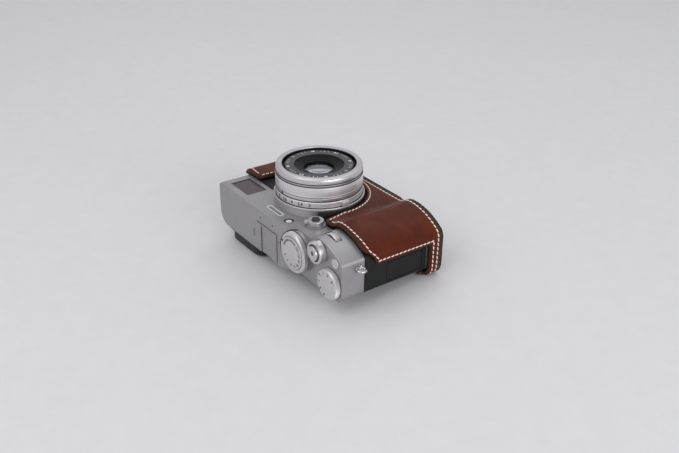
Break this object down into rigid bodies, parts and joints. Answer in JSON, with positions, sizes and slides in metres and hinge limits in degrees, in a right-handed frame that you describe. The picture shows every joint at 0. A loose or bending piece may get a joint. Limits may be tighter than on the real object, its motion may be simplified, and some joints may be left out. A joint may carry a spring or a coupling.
{
  "type": "compact camera in a leather half case",
  "caption": "Compact fixed-lens viewfinder camera lying on its back in a leather half case, with turning rings, dials, keys, doors and a coupled iris.",
  "frame": {"origin": "under the middle of the object's box, on the plane of the eyecup's rear face, with the camera lying on its back", "axes": "+Z along the optical axis out of the lens, +X towards the shutter and grip end, -Y out of the top deck, so +Y is out of the base"},
  "size_m": [0.1398, 0.0782, 0.064],
  "materials": {
    "silver_satin": "satin, fine grain",
    "silver_bright": "satin with polished edges",
    "black_metal": "matte black",
    "black_skin": "fine grained skin",
    "black_plastic": "matte black",
    "screen": "gloss black",
    "eye_rubber": "matte rubber",
    "clear_glass": "coated glass",
    "finder_glass": "tinted glass",
    "flash_glass": "frosted lens",
    "brown_leather": "glossy red-brown leather",
    "board_green": "solder resist",
    "brass_bush": "turned brass",
    "lug_chrome": "polished",
    "steel": "turned steel",
    "chassis_grey": "die cast"
  },
  "bodies": {
    "camera": {"top_cover": "silver_satin", "body_shell": "black_metal", "rear_cover": "black_metal", "base_cover": "silver_satin", "leatherette": "black_skin", "chassis": "chassis_grey", "main_board": "board_green", "sensor_unit": "black_plastic", "battery": "black_plastic", "memory_card": "black_plastic", "viewfinder_window": "finder_glass", "viewfinder_prism": "clear_glass", "eyepiece_lens": "clear_glass", "eyecup": "eye_rubber", "flash_unit": "silver_bright", "flash_window": "flash_glass", "af_lamp": "flash_glass", "hot_shoe": "silver_satin", "strap_lugs": "lug_chrome", "display_panel": "screen", "tripod_bush": "brass_bush", "lens_flange": "silver_bright", "lens_barrel": "silver_bright", "front_ring": "silver_bright", "name_ring": "black_metal", "lens_cone": "black_metal", "front_element": "clear_glass", "rear_element": "clear_glass", "iris_housing": "black_metal", "cover_screws": "steel", "case_shell": "brown_leather", "case_plate": "silver_satin", "case_screw": "steel"},
    "shutter_dial_body": {"shutter_dial": "silver_satin"},
    "iso_collar_body": {"iso_collar": "silver_bright"},
    "shutter_button_body": {"shutter_button": "silver_bright"},
    "power_lever_body": {"power_lever": "silver_bright"},
    "function_button_body": {"function_button": "silver_satin"},
    "exposure_dial_body": {"exposure_dial": "silver_satin"},
    "finder_lever_body": {"finder_lever": "silver_bright"},
    "finder_lever_button_body": {"finder_lever_button": "black_metal"},
    "front_dial_body": {"front_dial": "silver_bright"},
    "aperture_ring_body": {"aperture_ring": "silver_bright"},
    "focus_ring_body": {"focus_ring": "silver_bright"},
    "iris_blade_1_body": {"iris_blade_1": "black_metal"},
    "iris_blade_2_body": {"iris_blade_2": "black_metal"},
    "iris_blade_3_body": {"iris_blade_3": "black_metal"},
    "iris_blade_4_body": {"iris_blade_4": "black_metal"},
    "iris_blade_5_body": {"iris_blade_5": "black_metal"},
    "iris_blade_6_body": {"iris_blade_6": "black_metal"},
    "iris_blade_7_body": {"iris_blade_7": "black_metal"},
    "battery_door_body": {"battery_door": "silver_satin"},
    "battery_latch_body": {"battery_latch": "black_plastic"},
    "terminal_door_body": {"terminal_door": "black_skin"},
    "rear_dial_body": {"rear_dial": "black_metal"},
    "focus_stick_body": {"focus_stick": "black_plastic"},
    "hot_shoe_cover_body": {"hot_shoe_cover": "silver_satin"},
    "menu_button_body": {"menu_button": "black_plastic"},
    "play_button_body": {"play_button": "black_plastic"},
    "quick_button_body": {"quick_button": "black_plastic"}
  },
  "joints": [
    {"name": "shutter_turn", "type": "hinge", "parent": "camera", "child": "shutter_dial_body", "pos_m": [0.0228, -0.0367, 0.0262], "axis": [0, -1, 0], "continuous": true},
    {"name": "iso_lift", "type": "slide", "parent": "shutter_dial_body", "child": "iso_collar_body", "axis": [0, -1, 0], "range_m": [0, 0.0012], "stiffness_N_per_m": 200},
    {"name": "shutter_press", "type": "slide", "parent": "camera", "child": "shutter_button_body", "axis": [0, 1, 0], "range_m": [0, 0.001], "stiffness_N_per_m": 300},
    {"name": "power_turn", "type": "hinge", "parent": "camera", "child": "power_lever_body", "pos_m": [0.0432, -0.0347, 0.0353], "axis": [0, -1, 0], "range_deg": [-30, 0]},
    {"name": "function_press", "type": "slide", "parent": "camera", "child": "function_button_body", "axis": [0, 1, 0], "range_m": [0, 0.0008], "stiffness_N_per_m": 100},
    {"name": "exposure_turn", "type": "hinge", "parent": "camera", "child": "exposure_dial_body", "pos_m": [0.0545, -0.0347, 0.0197], "axis": [0, -1, 0], "range_deg": [-150, 150]},
    {"name": "finder_swing", "type": "hinge", "parent": "camera", "child": "finder_lever_body", "pos_m": [0.022, -0.0212, 0.0415], "axis": [0, 0, 1], "range_deg": [-18, 18], "stiffness_Nm_per_rad": 0.002},
    {"name": "finder_press", "type": "slide", "parent": "camera", "child": "finder_lever_button_body", "axis": [0, 0, -1], "range_m": [0, 0.0008], "stiffness_N_per_m": 100},
    {"name": "front_dial_turn", "type": "hinge", "parent": "camera", "child": "front_dial_body", "pos_m": [0.04302, -0.0237, 0.03553], "axis": [0, -1, 0], "continuous": true},
    {"name": "aperture_turn", "type": "hinge", "parent": "camera", "child": "aperture_ring_body", "pos_m": [-0.0068, 0.0012, 0.0475], "axis": [0, 0, 1], "range_deg": [0, 100]},
    {"name": "focus_turn", "type": "hinge", "parent": "camera", "child": "focus_ring_body", "pos_m": [-0.0068, 0.0012, 0.0545], "axis": [0, 0, 1], "continuous": true},
    {"name": "iris_1", "type": "hinge", "parent": "camera", "child": "iris_blade_1_body", "pos_m": [0.0086, 0.0012, 0.0425], "axis": [0, 0, 1], "range_deg": [0, 24]},
    {"name": "iris_2", "type": "hinge", "parent": "camera", "child": "iris_blade_2_body", "pos_m": [0.0028, 0.01324, 0.0425], "axis": [0, 0, 1], "range_deg": [0, 24]},
    {"name": "iris_3", "type": "hinge", "parent": "camera", "child": "iris_blade_3_body", "pos_m": [-0.01023, 0.01621, 0.0425], "axis": [0, 0, 1], "range_deg": [0, 24]},
    {"name": "iris_4", "type": "hinge", "parent": "camera", "child": "iris_blade_4_body", "pos_m": [-0.02067, 0.00788, 0.0425], "axis": [0, 0, 1], "range_deg": [0, 24]},
    {"name": "iris_5", "type": "hinge", "parent": "camera", "child": "iris_blade_5_body", "pos_m": [-0.02067, -0.00548, 0.0425], "axis": [0, 0, 1], "range_deg": [0, 24]},
    {"name": "iris_6", "type": "hinge", "parent": "camera", "child": "iris_blade_6_body", "pos_m": [-0.01023, -0.01381, 0.0425], "axis": [0, 0, 1], "range_deg": [0, 24]},
    {"name": "iris_7", "type": "hinge", "parent": "camera", "child": "iris_blade_7_body", "pos_m": [0.0028, -0.01084, 0.0425], "axis": [0, 0, 1], "range_deg": [0, 24]},
    {"name": "battery_door_swing", "type": "hinge", "parent": "camera", "child": "battery_door_body", "pos_m": [0.0255, 0.0333, 0.0255], "axis": [0, 0, 1], "range_deg": [0, 85]},
    {"name": "latch_slide", "type": "slide", "parent": "battery_door_body", "child": "battery_latch_body", "axis": [-1, 0, 0], "range_m": [0, 0.0024]},
    {"name": "terminal_door_swing", "type": "hinge", "parent": "camera", "child": "terminal_door_body", "pos_m": [0.0642, 0.0123, 0.0266], "axis": [0, -1, 0], "range_deg": [0, 95]},
    {"name": "rear_dial_turn", "type": "hinge", "parent": "camera", "child": "rear_dial_body", "pos_m": [0.05, -0.0257, 0.0176], "axis": [0, -1, 0], "continuous": true},
    {"name": "stick_tilt", "type": "hinge", "parent": "camera", "child": "focus_stick_body", "pos_m": [0.044, -0.0028, 0.0135], "axis": [1, 0, 0], "range_deg": [-12, 12], "stiffness_Nm_per_rad": 0.001},
    {"name": "shoe_cover_slide", "type": "slide", "parent": "camera", "child": "hot_shoe_cover_body", "axis": [0, 0, -1], "range_m": [0, 0.0184]},
    {"name": "menu_press", "type": "slide", "parent": "camera", "child": "menu_button_body", "axis": [0, 0, 1], "range_m": [0, 0.0007], "stiffness_N_per_m": 100},
    {"name": "play_press", "type": "slide", "parent": "camera", "child": "play_button_body", "axis": [0, 0, 1], "range_m": [0, 0.0007], "stiffness_N_per_m": 100},
    {"name": "quick_press", "type": "slide", "parent": "camera", "child": "quick_button_body", "axis": [0, 0, 1], "range_m": [0, 0.0007], "stiffness_N_per_m": 100}
  ],
  "couplings": [
    {"joint": "iris_1", "follows": "aperture_turn", "ratio": 0.24},
    {"joint": "iris_2", "follows": "aperture_turn", "ratio": 0.24},
    {"joint": "iris_3", "follows": "aperture_turn", "ratio": 0.24},
    {"joint": "iris_4", "follows": "aperture_turn", "ratio": 0.24},
    {"joint": "iris_5", "follows": "aperture_turn", "ratio": 0.24},
    {"joint": "iris_6", "follows": "aperture_turn", "ratio": 0.24},
    {"joint": "iris_7", "follows": "aperture_turn", "ratio": 0.24}
  ]
}
